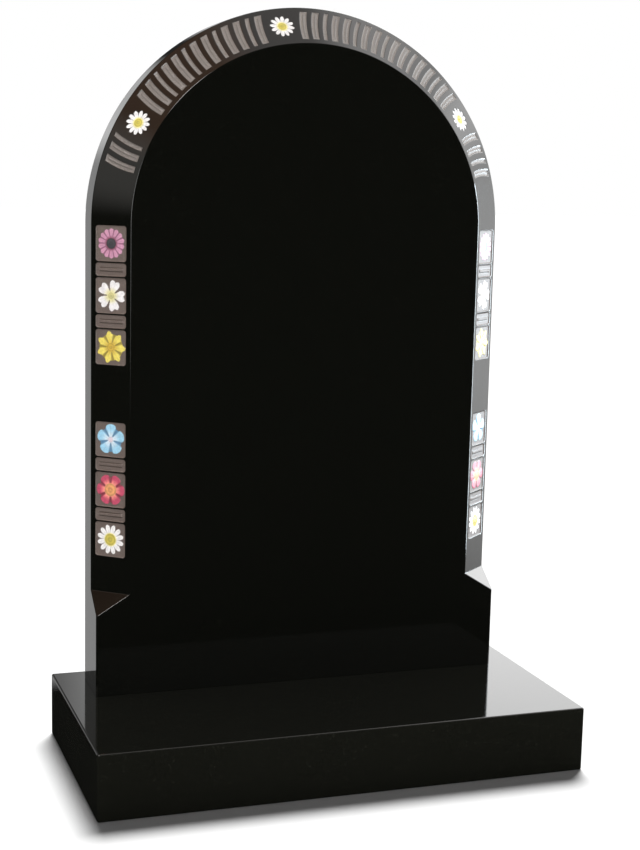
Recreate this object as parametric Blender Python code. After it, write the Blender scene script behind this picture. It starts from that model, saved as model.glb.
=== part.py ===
"""Headstone of polished black granite.

A round-topped tablet stands near the back of a plain rectangular base. A broad chamfer runs up both sides
of the tablet's face and round its arch, and ends above the foot in slanting stops. On the chamfer's upright
stretches are sunk square panels with flowers in low relief, parted by sunk bars. Over the arch run groups of
shallow strokes with a daisy between each two groups.

Metres, +Z up. The tablet's face looks along -Y. The origin is at the middle of the base's underside.
"""
import math
from collections import namedtuple

import bmesh
import bpy
from mathutils import Vector
from mathutils.geometry import delaunay_2d_cdt

# Base
BASE_WIDTH = 0.610
BASE_DEPTH = 0.305
BASE_HEIGHT = 0.080
BASE_ARRIS = 0.002

# Tablet
STONE_WIDTH = 0.535
STONE_THICKNESS = 0.076
STONE_HEIGHT = 0.848
STONE_ARRIS = 0.002
BACK_LEDGE = 0.031  # top of the base that shows behind the tablet
BED_GAP = 0.0003  # between the base and the tablet that stands on it
ARCH_STEPS = 72

# Chamfer round the tablet's face
CHAMFER_ON_FACE = 0.041
CHAMFER_ON_SIDE = 0.036
CROWN_EXTRA = 0.004  # how much wider the chamfer is on the face at the crown of the arch
FOOT_HEIGHT = 0.103  # square-cornered foot below the stops
STOP_RISE = 0.024  # height over which a stop slants up to the full chamfer
CARVING_MARGIN = 0.0064  # polished strip along both edges of the chamfer

# Panels and bars on the upright stretches
PANEL_LENGTH = 0.043
BAR_LENGTH = 0.016
CARVING_JOINT = 0.0018  # polished line between a panel and a bar
CORNER_RADIUS = 0.0035
PANELS_IN_GROUP = 3
GROUPS_ON_SIDE = 2
TOP_GAP = 0.0012  # from the springing of the arch down to the first panel
FOOT_GAP = 0.0455  # from the stop up to the last panel
LEAST_GROUP_GAP = 0.010  # least polished stretch between two groups
PANEL_DEPTH = 0.0012
PETAL_DEPTH = 0.0005
CENTRE_DEPTH = 0.0002
FLOWER_MARGIN = 0.0015  # from the flower to the panel's edge
RIB_WIDTH = 0.0035  # rib left standing along the middle of a bar
RIB_INSET = 0.0045  # from the rib's ends to the bar's ends
RIB_DEPTH = 0.0004

# Strokes and daisies over the arch
BAND_END_ANGLE = math.radians(15.0)  # plain stretch above each springing
DAISY_ANGLES = (math.radians(150.6), math.radians(98.6), math.radians(34.3))
DAISY_RADIUS = 0.0153
DAISY_CLEARANCE = 0.0047  # from a daisy to the strokes beside it
STROKE_WIDTHS = (0.0085, 0.0085, 0.0050)  # two broad strokes and a narrow one, in turn
STROKE_GAP = 0.0062  # least polished ground between two strokes
STROKE_LEAN = 0.0060  # how far a stroke's outer end stands past its inner end
STROKE_BOW = 0.0016  # how far the middle of a stroke stands out
STROKE_STEPS = 4
STROKE_DEPTH = 0.0010
DAISY_DEPTH = 0.0008
DAISY_CENTRE_DEPTH = 0.0003

# Flowers: number of petals, valley between petals as a share of the radius, roundness of the petals' ends,
# depth of the notch in an end, share of its room that a petal fills, direction of a petal clockwise from the
# top, centre as a share of the radius, radius as a share of the panel's room. Those of a side run from the
# arch down.
Flower = namedtuple("Flower", "petals valley roundness notch fill turn centre size")
PINK_ASTER = Flower(14, 0.80, 1.6, 0.00, 1.00, 0.0, 0.36, 0.93)
WHITE_PRIMROSE = Flower(5, 0.32, 3.0, 0.14, 0.82, 20.0, 0.20, 1.00)
YELLOW_STAR = Flower(7, 0.42, 1.4, 0.00, 0.92, 42.0, 0.26, 1.03)
BLUE_FLAX = Flower(5, 0.48, 2.6, 0.00, 0.88, 0.0, 0.18, 0.98)
RED_ANEMONE = Flower(6, 0.62, 2.2, 0.00, 1.00, 30.0, 0.42, 1.00)
WHITE_DAISY = Flower(12, 0.54, 1.9, 0.00, 0.95, 15.0, 0.40, 0.96)
SIDE_FLOWERS = (PINK_ASTER, WHITE_PRIMROSE, YELLOW_STAR, BLUE_FLAX, RED_ANEMONE, WHITE_DAISY)
ARCH_DAISY = Flower(12, 0.50, 1.8, 0.00, 1.00, 15.0, 0.34, 1.00)
NOTCH_REACH = 0.45  # share of the half petal that its notch takes

# Places that follow from the sizes above
BED = BASE_HEIGHT + BED_GAP
HALF_WIDTH = STONE_WIDTH / 2
SPRING = BED + STONE_HEIGHT - HALF_WIDTH
STOP_CORNER = BED + FOOT_HEIGHT
STOP_TOP = STOP_CORNER + STOP_RISE
BACK = BASE_DEPTH / 2 - BACK_LEDGE
FRONT = BACK - STONE_THICKNESS
CHAMFER_WIDTH = math.hypot(CHAMFER_ON_FACE, CHAMFER_ON_SIDE)
CARVING_WIDTH = CHAMFER_WIDTH - 2 * CARVING_MARGIN
UPRIGHT = SPRING - STOP_TOP
MIDDLE_RADIUS = HALF_WIDTH - CHAMFER_ON_FACE / 2
ARCH_LENGTH = math.pi * MIDDLE_RADIUS
SIDE_RATIO = CHAMFER_ON_SIDE / CHAMFER_ON_FACE


def outward(along):
    """Direction away from the tablet's middle, and the height it starts from, at a place on the chamfer."""
    if along <= UPRIGHT:
        return Vector((-1.0, 0.0, 0.0)), STOP_TOP + along
    if along >= UPRIGHT + ARCH_LENGTH:
        return Vector((1.0, 0.0, 0.0)), SPRING - (along - UPRIGHT - ARCH_LENGTH)
    angle = math.pi - (along - UPRIGHT) / MIDDLE_RADIUS
    return Vector((math.cos(angle), 0.0, math.sin(angle))), SPRING


def face_inset(along):
    """Width of the chamfer on the face, which grows smoothly from each springing to the crown."""
    rise = outward(along)[0].z
    return CHAMFER_ON_FACE + CROWN_EXTRA * rise ** 2


def on_tablet(along, inset, y):
    """Point that lies inset from the tablet's outline, at depth y."""
    direction, height = outward(along)
    return Vector((0.0, y, height)) + direction * (HALF_WIDTH - inset)


def on_chamfer(along, across, depth):
    """Point on the chamfer, across from its outer edge and sunk square to its face."""
    share = across / CHAMFER_WIDTH
    inset = face_inset(along) * share + depth * CHAMFER_ON_SIDE / CHAMFER_WIDTH
    y = FRONT + CHAMFER_ON_SIDE * (1 - share) + depth * CHAMFER_ON_FACE / CHAMFER_WIDTH
    return on_tablet(along, inset, y)


def along_at(angle):
    """Distance along the chamfer of an angle of the arch."""
    return UPRIGHT + (math.pi - angle) * MIDDLE_RADIUS


def rounded_rectangle(along, across, length, width, radius, steps=3):
    """Outline of a rectangle with round corners, centred on a place of the chamfer."""
    points = []
    for corner, (u, v) in enumerate(((1, 1), (-1, 1), (-1, -1), (1, -1))):
        for step in range(steps + 1):
            angle = (corner + step / steps) * math.pi / 2
            points.append((along + u * (length / 2 - radius) + radius * math.cos(angle),
                           across + v * (width / 2 - radius) + radius * math.sin(angle)))
    return points


def petal_reach(share, kind):
    """Reach of a flower's edge, as a share of its radius, from mid petal (0) to the valley (1)."""
    within = min(1.0, share / kind.fill)
    end = (1 - within ** kind.roundness) ** (1 / kind.roundness)
    return kind.valley + (1 - kind.valley) * end - kind.notch * max(0.0, 1 - within / NOTCH_REACH)


def flower_outline(along, across, radius, kind, start):
    """Outline of a flower from one petal's middle on, with more points on each petal where there are few."""
    steps = 8 if kind.petals < 7 else 4
    points = []
    for step in range(kind.petals * steps):
        share = 1 - abs(2 * (step % steps) / steps - 1)
        reach = radius * petal_reach(share, kind)
        angle = start + 2 * math.pi * step / (kind.petals * steps)
        points.append((along + reach * math.cos(angle), across + reach * math.sin(angle)))
    return points


def disc(along, across, radius, sides=10):
    """Outline of a flower's centre."""
    turns = [2 * math.pi * side / sides for side in range(sides)]
    return [(along + radius * math.cos(turn), across + radius * math.sin(turn)) for turn in turns]


def flower(along, across, room, kind, petal_depth, centre_depth, top=0.0):
    """The petals and the centre of a flower, each an outline and its depth."""
    radius = room * kind.size
    start = top + math.radians(kind.turn)
    return [(flower_outline(along, across, radius, kind, start), petal_depth),
            (disc(along, across, radius * kind.centre), centre_depth)]


def panel(along, kind, mirrored):
    """Sunk panel with its flower, which stands upright on both sides."""
    across = CHAMFER_WIDTH / 2
    room = min(PANEL_LENGTH, CARVING_WIDTH) / 2 - FLOWER_MARGIN
    top = math.pi if mirrored else 0.0
    outline = rounded_rectangle(along, across, PANEL_LENGTH, CARVING_WIDTH, CORNER_RADIUS)
    return [(outline, PANEL_DEPTH)] + flower(along, across, room, kind, PETAL_DEPTH, CENTRE_DEPTH, top)


def bar(along):
    """Sunk bar with a rib along its middle."""
    across = CHAMFER_WIDTH / 2
    outline = rounded_rectangle(along, across, BAR_LENGTH, CARVING_WIDTH, CORNER_RADIUS)
    rib = rounded_rectangle(along, across, RIB_WIDTH, CARVING_WIDTH - 2 * RIB_INSET, RIB_WIDTH / 4, steps=1)
    return [(outline, PANEL_DEPTH), (rib, RIB_DEPTH)]


def group_length(panels):
    """Length of a group of panels and the bars between them."""
    return panels * PANEL_LENGTH + (panels - 1) * (BAR_LENGTH + 2 * CARVING_JOINT)


def panels_that_fit():
    """Panels in each group that the upright stretch has room for."""
    panels = PANELS_IN_GROUP
    room = UPRIGHT - TOP_GAP - FOOT_GAP - (GROUPS_ON_SIDE - 1) * LEAST_GROUP_GAP
    while panels > 1 and GROUPS_ON_SIDE * group_length(panels) > room:
        panels -= 1
    return panels


def side_carving(mirrored):
    """Panels and bars of one upright stretch, from the springing down to the last group over the stop."""
    panels = panels_that_fit()
    pitch = PANEL_LENGTH + BAR_LENGTH + 2 * CARVING_JOINT
    spare = UPRIGHT - TOP_GAP - FOOT_GAP - GROUPS_ON_SIDE * group_length(panels)
    group_pitch = group_length(panels) + spare / (GROUPS_ON_SIDE - 1)
    whole = 2 * UPRIGHT + ARCH_LENGTH
    patches = []
    for group in range(GROUPS_ON_SIDE):
        for number in range(panels):
            down = TOP_GAP + PANEL_LENGTH / 2 + group * group_pitch + number * pitch
            along = whole - UPRIGHT + down if mirrored else UPRIGHT - down
            kind = SIDE_FLOWERS[(group * PANELS_IN_GROUP + number) % len(SIDE_FLOWERS)]
            patches += panel(along, kind, mirrored)
            if number < panels - 1:
                patches += bar(along + pitch / 2 if mirrored else along - pitch / 2)
    return patches


def stroke(along, width):
    """A leaning, slightly bowed stroke as wide as the carving."""
    sides = ([], [])
    for step in range(STROKE_STEPS + 1):
        share = step / STROKE_STEPS - 0.5
        across = CHAMFER_WIDTH / 2 + CARVING_WIDTH * share
        middle = along - STROKE_LEAN * share - STROKE_BOW * (1 - 4 * share ** 2)
        for side, half in zip(sides, (width / 2, -width / 2)):
            side.append((middle + half, across))
    return sides[0] + sides[1][::-1], STROKE_DEPTH


def stroke_run(start, end):
    """As many strokes as there is room for from one angle of the arch to another, spread to fill it."""
    first = along_at(start) + STROKE_LEAN / 2 + STROKE_BOW
    room = along_at(end) - STROKE_LEAN / 2 - first
    widths = [STROKE_WIDTHS[0]]
    while True:
        width = STROKE_WIDTHS[len(widths) % len(STROKE_WIDTHS)]
        if sum(widths) + width + len(widths) * STROKE_GAP > room:
            break
        widths.append(width)
    gap = (room - sum(widths)) / max(1, len(widths) - 1)
    return [stroke(first + sum(widths[:number]) + number * gap + width / 2, width)
            for number, width in enumerate(widths)]


def arch_carving():
    """Runs of strokes over the arch and the daisies between them."""
    half_gap = (DAISY_RADIUS + DAISY_CLEARANCE) / MIDDLE_RADIUS
    patches = []
    start = math.pi - BAND_END_ANGLE
    for angle in DAISY_ANGLES:
        patches += stroke_run(start, angle + half_gap)
        patches += flower(along_at(angle), CHAMFER_WIDTH / 2, DAISY_RADIUS, ARCH_DAISY,
                          DAISY_DEPTH, DAISY_CENTRE_DEPTH)
        start = angle - half_gap
    return patches + stroke_run(start, BAND_END_ANGLE)


def terrace(bm, stations, outer, inner, patches):
    """Fills the chamfer between its outer and inner edges, with each patch sunk to its own depth.

    The chamfer is laid out flat in millimetres and triangulated with the patches' outlines, which all run
    anticlockwise, as its edges. Each triangle is then put on the chamfer at the depth of the innermost patch
    around it, and where two neighbours differ in depth a wall joins them.
    """
    border = [(along, 0.0) for along in stations] + [(along, CHAMFER_WIDTH) for along in stations[::-1]]
    border_verts = outer + inner[::-1]
    points = list(border)
    loops = [list(range(len(border)))]
    depths = [0.0]
    for outline, depth in patches:
        loops.append(list(range(len(points), len(points) + len(outline))))
        points += outline
        depths.append(depth)
    flat = [Vector((along * 1000, across * 1000)) for along, across in points]
    places, _, faces, sources, _, owners = delaunay_2d_cdt(flat, [], loops, 1, 1e-4)
    verts = {}

    def vert(index, depth):
        if (index, depth) not in verts:
            edge = [border_verts[source] for source in sources[index] if source < len(border)]
            along, across = places[index] / 1000
            verts[index, depth] = edge[0] if edge else bm.verts.new(on_chamfer(along, across, depth))
        return verts[index, depth]

    sides = {}
    for face, owner in zip(faces, owners):
        depth = depths[max(owner)]
        bm.faces.new([vert(index, depth) for index in face])
        for a, b in zip(face, face[1:] + face[:1]):
            sides.setdefault((min(a, b), max(a, b)), []).append(depth)
    for (a, b), found in sides.items():
        if len(found) == 2 and found[0] != found[1]:
            bm.faces.new((vert(a, found[0]), vert(b, found[0]), vert(b, found[1]), vert(a, found[1])))


def make_headstone():
    """The tablet: rings of points round its outline, at the back, on the side and on the face, skinned."""
    bm = bmesh.new()
    stations = [0.0, UPRIGHT]
    stations += [UPRIGHT + ARCH_LENGTH * step / ARCH_STEPS for step in range(1, ARCH_STEPS)]
    stations += [UPRIGHT + ARCH_LENGTH, 2 * UPRIGHT + ARCH_LENGTH]
    foot = [(BED - STOP_TOP, STONE_ARRIS), (STOP_CORNER - STOP_TOP, STONE_ARRIS)]
    path = foot + [(along, face_inset(along)) for along in stations]
    path += [(2 * UPRIGHT + ARCH_LENGTH - along, inset) for along, inset in foot[::-1]]

    def ring(point):
        return [bm.verts.new(point(along, inset)) for along, inset in path]

    def on_side(along, inset):
        return on_tablet(along, 0.0, FRONT + min(inset * SIDE_RATIO, CHAMFER_ON_SIDE))

    back_face = ring(lambda along, inset: on_tablet(along, STONE_ARRIS, BACK))
    back_edge = ring(lambda along, inset: on_tablet(along, 0.0, BACK - STONE_ARRIS))
    side_edge = ring(on_side)
    face_edge = ring(lambda along, inset: on_tablet(along, inset, FRONT))

    last = len(path) - 1
    chamfered = range(len(foot), last - len(foot))
    for i in range(last):
        bm.faces.new((back_face[i], back_face[i + 1], back_edge[i + 1], back_edge[i]))
        bm.faces.new((back_edge[i], back_edge[i + 1], side_edge[i + 1], side_edge[i]))
        if i not in chamfered:
            bm.faces.new((side_edge[i], side_edge[i + 1], face_edge[i + 1], face_edge[i]))
    for rim in (face_edge, back_face):
        for i in range(last // 2):
            rung = [rim[i], rim[i + 1], rim[last - i - 1], rim[last - i]]
            bm.faces.new(list(dict.fromkeys(rung)))
    corner = [face_edge[0], side_edge[0], back_edge[0], back_face[0]]
    bm.faces.new(corner + [back_face[last], back_edge[last], side_edge[last], face_edge[last]])

    first, end = len(foot), last - len(foot)
    patches = side_carving(False) + arch_carving() + side_carving(True)
    terrace(bm, stations, side_edge[first:end + 1], face_edge[first:end + 1], patches)
    bmesh.ops.recalc_face_normals(bm, faces=bm.faces)
    return mesh_object("headstone", bm)


def make_base():
    """The base: a plain block with its edges taken off."""
    bm = bmesh.new()
    bmesh.ops.create_cube(bm, size=1.0)
    bmesh.ops.scale(bm, vec=(BASE_WIDTH, BASE_DEPTH, BASE_HEIGHT), verts=bm.verts)
    bmesh.ops.translate(bm, vec=(0.0, 0.0, BASE_HEIGHT / 2), verts=bm.verts)
    base = mesh_object("base", bm)
    arris = base.modifiers.new("arris", "BEVEL")
    arris.width = BASE_ARRIS
    arris.segments = 1
    return base


def mesh_object(name, bm):
    """Puts a bmesh into a new object of the scene."""
    mesh = bpy.data.meshes.new(name)
    bm.to_mesh(mesh)
    bm.free()
    piece = bpy.data.objects.new(name, mesh)
    bpy.context.scene.collection.objects.link(piece)
    return piece


def granite(name, colour, roughness):
    """Polished stone."""
    material = bpy.data.materials.new(name)
    material.use_nodes = True
    shader = material.node_tree.nodes["Principled BSDF"]
    shader.inputs["Base Color"].default_value = (*colour, 1.0)
    shader.inputs["Roughness"].default_value = roughness
    shader.inputs["Metallic"].default_value = 0.0
    return material


def main():
    for old in list(bpy.data.objects):
        bpy.data.objects.remove(old)
    headstone = make_headstone()
    headstone.data.shade_smooth()
    headstone.data.set_sharp_from_angle(angle=math.radians(20.0))
    headstone.data.materials.append(granite("tablet granite", (0.006, 0.006, 0.005), 0.08))
    base = make_base()
    base.data.materials.append(granite("base granite", (0.007, 0.007, 0.006), 0.08))


main()
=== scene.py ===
"""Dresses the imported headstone: polished granite, the carved chamfer, the painted flowers and a plain studio.

The tablet is one body with a shallow seat round its face, in which lie three skins that carry the fine
carving: up the left side, over the arch and down the right side. Metres, +Z up, the tablet's face looks
along -Y.
"""

import math
from collections import namedtuple

import bpy
import numpy as np
from bpy.props import FloatProperty, FloatVectorProperty, PointerProperty
from mathutils import Matrix, Vector


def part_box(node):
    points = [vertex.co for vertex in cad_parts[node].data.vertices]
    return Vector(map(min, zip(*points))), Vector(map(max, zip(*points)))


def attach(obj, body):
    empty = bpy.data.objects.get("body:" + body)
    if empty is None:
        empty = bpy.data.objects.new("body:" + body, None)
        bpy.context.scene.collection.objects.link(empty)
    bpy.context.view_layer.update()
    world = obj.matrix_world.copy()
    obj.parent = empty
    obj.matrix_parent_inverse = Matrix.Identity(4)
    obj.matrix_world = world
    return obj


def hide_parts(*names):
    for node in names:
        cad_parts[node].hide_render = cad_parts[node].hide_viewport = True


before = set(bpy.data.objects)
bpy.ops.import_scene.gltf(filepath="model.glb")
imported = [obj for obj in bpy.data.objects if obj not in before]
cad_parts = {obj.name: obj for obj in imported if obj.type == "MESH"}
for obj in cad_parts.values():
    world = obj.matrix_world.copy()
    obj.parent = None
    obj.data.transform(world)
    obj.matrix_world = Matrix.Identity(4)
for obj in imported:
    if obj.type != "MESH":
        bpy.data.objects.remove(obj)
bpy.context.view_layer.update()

bl_info = {
    "name": "Granite headstone",
    "version": (1, 0, 0),
    "blender": (4, 5, 0),
    "location": "View3D > Sidebar > Headstone",
    "description": "Builds the fine surface, the finishes and the studio of a granite headstone",
    "category": "Add Mesh",
}

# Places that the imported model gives
TABLET_LOW, TABLET_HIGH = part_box("headstone")
BASE_LOW, BASE_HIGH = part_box("base")
HALF_WIDTH = TABLET_HIGH.x
BED = TABLET_LOW.z
SPRING = TABLET_HIGH.z - HALF_WIDTH
FRONT = TABLET_LOW.y
BACK = TABLET_HIGH.y

# Fineness of the surfaces
FINE_ALONG = 0.0006
FINE_ALONG_ARCH = 0.0007
FINE_ACROSS = 0.0006
COARSE_ARCH_STEP = 0.005
CREASE_STEP = 0.0004
EDGE_STEPS = 6
STOP_STEPS = 10
MARGIN_ROWS = 5
FLAT_ROW = 0.0006  # level row beside a rounded edge, which keeps the flat faces' reflections straight
CORNER_SPARE = 0.0002  # smallest radius of the flat faces' corners on the base
SHARP_ANGLE = math.radians(75.0)
SKINS = ("chamfer_left", "chamfer_arch", "chamfer_right")


def linear(red, green, blue):
    """Linear light of a screen colour from 0 to 255: each share to the power 2.4 after its offset."""
    shares = np.array((red, green, blue)) / 255.0
    light = np.where(shares > 0.04045, ((shares + 0.055) / 1.055) ** 2.4, shares / 12.92)
    return tuple(float(channel) for channel in light)


def length(name, description, default):
    """A length in metres for the panel."""
    return FloatProperty(name=name, description=description, default=default, unit="LENGTH", min=0.0,
                         precision=5)


def colour(name, description, default):
    """A colour for the panel, in linear light."""
    return FloatVectorProperty(name=name, description=description, default=default, subtype="COLOR",
                               size=3, min=0.0, max=1.0)


def angle(name, description, degrees):
    """An angle for the panel."""
    return FloatProperty(name=name, description=description, default=math.radians(degrees), subtype="ANGLE")


class HeadstoneTablet(bpy.types.PropertyGroup):
    """Sizes of the tablet's chamfer and edges."""
    chamfer_on_face: length("Chamfer on face", "Width of the chamfer on the tablet's face", 0.041)
    chamfer_on_side: length("Chamfer on side", "Width of the chamfer on the tablet's side", 0.036)
    crown_extra: length("Extra at crown", "How much wider the chamfer is on the face at the crown", 0.004)
    foot_height: length("Foot height", "Height of the square-cornered foot", 0.103)
    stop_rise: length("Stop rise", "Height over which a stop slants up to the full chamfer", 0.024)
    foot_chamfer: length("Foot chamfer", "Width of the small chamfer on the foot's corners", 0.002)
    edge_radius: length("Edge radius", "Radius of the rounded edges of the chamfer", 0.0016)
    stop_radius: length("Stop edge radius", "Radius of the rounded edge at the foot of a stop", 0.0028)
    back_radius: length("Back edge radius", "Radius of the edge round the back", 0.002)
    seat: length("Seat", "Depth of the seat under the chamfer's skins", 0.003)


class HeadstoneCarving(bpy.types.PropertyGroup):
    """Sizes of the carving on the chamfer."""
    margin: length("Margin", "Polished strip along both edges of the chamfer", 0.0064)
    panel_length: length("Panel length", "Length of a flower panel", 0.043)
    bar_length: length("Bar length", "Length of a bar between two panels", 0.016)
    joint: length("Joint", "Polished line between a panel and a bar", 0.0018)
    corner_radius: length("Corner radius", "Radius of the corners of panels and bars", 0.0035)
    top_gap: length("Top gap", "From the springing down to the first panel", 0.0012)
    foot_gap: length("Foot gap", "From the stop up to the last panel", 0.0455)
    panel_depth: length("Panel depth", "Depth of the sunk panels and bars", 0.0012)
    petal_depth: length("Petal depth", "Depth of the petals under the chamfer", 0.0005)
    centre_depth: length("Centre depth", "Depth of the flowers' centres under the chamfer", 0.0002)
    flower_margin: length("Flower margin", "From a flower to its panel's edge", 0.0015)
    wall: length("Wall", "Width of the slope of a blasted wall", 0.0009)
    rib_width: length("Rib width", "Width of the rib along a bar", 0.0035)
    rib_inset: length("Rib inset", "From the rib's ends to the bar's ends", 0.0045)
    rib_depth: length("Rib depth", "Depth of the rib under the chamfer", 0.0004)
    band_end: angle("Band end", "Plain stretch above each springing", 15.0)
    daisy_radius: length("Daisy radius", "Radius of the daisies over the arch", 0.0153)
    daisy_clearance: length("Daisy clearance", "From a daisy to the strokes beside it", 0.0047)
    stroke_gap: length("Stroke gap", "Least polished ground between two strokes", 0.0062)
    stroke_lean: length("Stroke lean", "How far a stroke's outer end stands past its inner end", 0.0060)
    stroke_bow: length("Stroke bow", "How far the middle of a stroke stands out", 0.0016)
    stroke_depth: length("Stroke depth", "Depth of the strokes", 0.0010)
    inline_width: length("Inline width", "Width of the fine line left along a stroke", 0.0009)
    inline_inset: length("Inline inset", "From the ends of a stroke to the ends of its line", 0.0030)
    daisy_depth: length("Daisy depth", "Depth of the daisies' petals", 0.0008)
    daisy_centre_depth: length("Daisy centre depth", "Depth of the daisies' centres", 0.0003)


class HeadstoneColours(bpy.types.PropertyGroup):
    """Colours of the stone and of the paint in the carving."""
    tablet: colour("Tablet", "Polished granite of the tablet", (0.0034, 0.0036, 0.0026))
    # Base: the same black granite as the tablet, given about twice its colour as painted light that brightens
    # the base
    base: colour("Base", "Polished granite of the base", (0.0078, 0.0080, 0.0060))
    blasted: colour("Blasted stone", "Stone left matt in panels and bars", linear(103, 88, 80))
    stroke: colour("Strokes", "Stone left matt in the strokes", linear(121, 113, 107))
    pink: colour("Pink aster", "Petals of the first flower", linear(214, 150, 180))
    pink_throat: colour("Pink throat", "Inner petals of the first flower", linear(140, 62, 88))
    pink_centre: colour("Pink centre", "Centre of the first flower", linear(66, 66, 70))
    pink_gap: colour("Pink gap", "Between the petals of the first flower", linear(152, 92, 120))
    white: colour("White primrose", "Petals of the second flower", linear(246, 241, 240))
    white_throat: colour("White throat", "Inner petals of the second flower", linear(236, 226, 160))
    white_centre: colour("White centre", "Centre of the second flower", linear(220, 210, 138))
    yellow: colour("Yellow star", "Petals of the third flower", linear(244, 222, 92))
    yellow_throat: colour("Yellow throat", "Inner petals of the third flower", linear(226, 190, 58))
    yellow_centre: colour("Yellow centre", "Centre of the third flower", linear(222, 182, 50))
    yellow_gap: colour("Yellow gap", "Between the petals of the third flower", linear(160, 140, 44))
    blue: colour("Blue flax", "Petals of the fourth flower", linear(158, 212, 238))
    blue_throat: colour("Blue throat", "Inner petals of the fourth flower", linear(226, 240, 250))
    blue_centre: colour("Blue centre", "Centre of the fourth flower", linear(244, 228, 238))
    blue_gap: colour("Blue gap", "Between the petals of the fourth flower", linear(84, 136, 172))
    red: colour("Red anemone", "Petals of the fifth flower", linear(206, 62, 100))
    red_throat: colour("Red throat", "Inner petals of the fifth flower", linear(255, 140, 130))
    red_centre: colour("Red centre", "Centre of the fifth flower", linear(246, 168, 100))
    red_gap: colour("Red gap", "Between the petals of the fifth flower", linear(138, 40, 60))
    daisy: colour("Daisy", "Petals of the daisies", linear(250, 246, 244))
    daisy_throat: colour("Daisy throat", "Inner petals of the daisies", linear(250, 238, 150))
    daisy_centre: colour("Daisy centre", "Centre of the daisies", linear(218, 200, 70))


class HeadstoneStudio(bpy.types.PropertyGroup):
    """Camera, floor and light."""
    camera: FloatVectorProperty(name="Camera", description="Place of the camera", subtype="TRANSLATION",
                                unit="LENGTH", size=3, default=(-0.6365, -1.8276, 0.7218))
    yaw: angle("Yaw", "Turn of the camera to the left", -19.2532)
    pitch: angle("Pitch", "Tilt of the camera down", 8.8505)
    roll: angle("Roll", "Roll of the camera", -1.3535)
    lens: FloatProperty(name="Lens", description="Focal length on a long side of 36 mm", default=67.213,
                        unit="CAMERA")
    floor: colour("Floor", "Colour of the floor", (0.60, 0.60, 0.60))
    floor_radius: length("Floor radius", "Radius of the floor", 30.0)
    side_light: FloatProperty(name="Side light", description="Power of the soft light at the right",
                              default=80.0, unit="POWER", min=0.0)
    key_light: FloatProperty(name="Key light", description="Light from behind, in watts a square metre",
                             default=7.0, min=0.0)
    fill_light: FloatProperty(name="Fill light", description="Light in front, in watts a square metre",
                              default=2.65, min=0.0)


# Flowers: number of petals, valley between petals as a share of the radius, roundness of the petals' ends,
# depth of the notch in an end, share of its room that a petal fills, direction of a petal clockwise from the
# top, centre as a share of the radius, radius as a share of the panel's room, reach of the dark paint between
# the petals, reach of the throat past the centre, name of the paint. Those of a side run from the arch down.
Flower = namedtuple("Flower", "petals valley roundness notch fill turn centre size shade throat paint")
FLOWERS = (
    Flower(14, 0.80, 1.6, 0.00, 1.00, 0.0, 0.36, 0.93, 0.90, 0.22, "pink"),
    Flower(5, 0.32, 3.0, 0.14, 0.82, 20.0, 0.20, 1.00, 0.00, 0.42, "white"),
    Flower(7, 0.42, 1.4, 0.00, 0.92, 42.0, 0.26, 1.03, 0.78, 0.34, "yellow"),
    Flower(5, 0.48, 2.6, 0.00, 0.88, 0.0, 0.18, 0.98, 0.76, 0.55, "blue"),
    Flower(6, 0.62, 2.2, 0.00, 1.00, 30.0, 0.42, 1.00, 0.78, 0.36, "red"),
    Flower(12, 0.54, 1.9, 0.00, 0.95, 15.0, 0.40, 0.96, 0.00, 0.12, "daisy"),
)
ARCH_DAISY = Flower(12, 0.50, 1.8, 0.00, 1.00, 15.0, 0.34, 1.00, 0.00, 0.20, "daisy")
NOTCH_REACH = 0.45  # share of the half petal that its notch takes
PANELS_IN_GROUP = 3
GROUPS_ON_SIDE = 2
DAISY_ANGLES = (math.radians(150.6), math.radians(98.6), math.radians(34.3))
STROKE_WIDTHS = (0.0085, 0.0085, 0.0050)

# Modelling of the relief, as shares of the wall's width, of the petals' rise or of what a comment names
SLANT_STEP = 0.02
CREASE = 0.50
CREASE_SINK = 0.55
VEIN = 0.55
VEIN_SINK = 0.16
DOME = 0.34
DROOP = 0.25
GRAIN_RINGS = 3.5
GRAIN_RISE = 0.05
RIB_LINE = 0.75  # how far the lines beside a rib are left polished
RIB_LINE_WIDTH = 0.55
INLINE_RISE = 0.5
INLINE_GLOSS = 0.55
PETAL_EDGE = (-0.35, 0.45)  # where a petal starts to rise and is whole, inside its outline
FLOWER_REACH = 1.15  # of the radius: what a flower may cover
CENTRE_CLEAR = 1.35  # of the centre's radius: where creases and veins are whole
KNOB_EDGE = 0.2  # of the centre's rise: where its grains start
DAISY_FLOOR = 1.25  # of the daisies' depth: the ground that their petals rise from
LEAN_FADE = 0.8  # of the margin and of the plain stretch: where the grid's lean fades out

# Paint on the petals
CREASE_TONE = 0.34
VEIN_TONE = 0.12
GRAIN_TONE = 0.14
GAP_PART = (0.56, 0.84)  # of the half petal: where the dark tone between petals starts and is whole
GAP_START = 0.9  # of the centre's radius
GAP_FADE = 0.12
CENTRE_RIM = (0.94, 1.06)  # of the centre's radius
PAINT_EDGE = (0.35, 0.65)  # of a petal's rise
SHADE_EDGE = 0.03

# Grain of the stone, in cells a metre, and its finishes
GRAIN_SCALE = 620.0
DRIFT_SCALE = 24.0
FLECK_SCALE = 520.0
PIT_SCALE = 1500.0
STREAK_SCALE = 260.0
FLOOR_SCALE = 3.0
PIT_DEPTH = 0.0005
POLISH = (0.045, 0.085)
BLASTED_ROUGHNESS = 0.52
PAINT_ROUGHNESS = 0.42
STONE_IOR = 1.56


def smooth(low, high, value):
    """0 below low, 1 above high and an even S between them: 3t^2 - 2t^3."""
    t = np.clip((value - low) / (high - low), 0.0, 1.0)
    return t * t * (3.0 - 2.0 * t)


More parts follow.
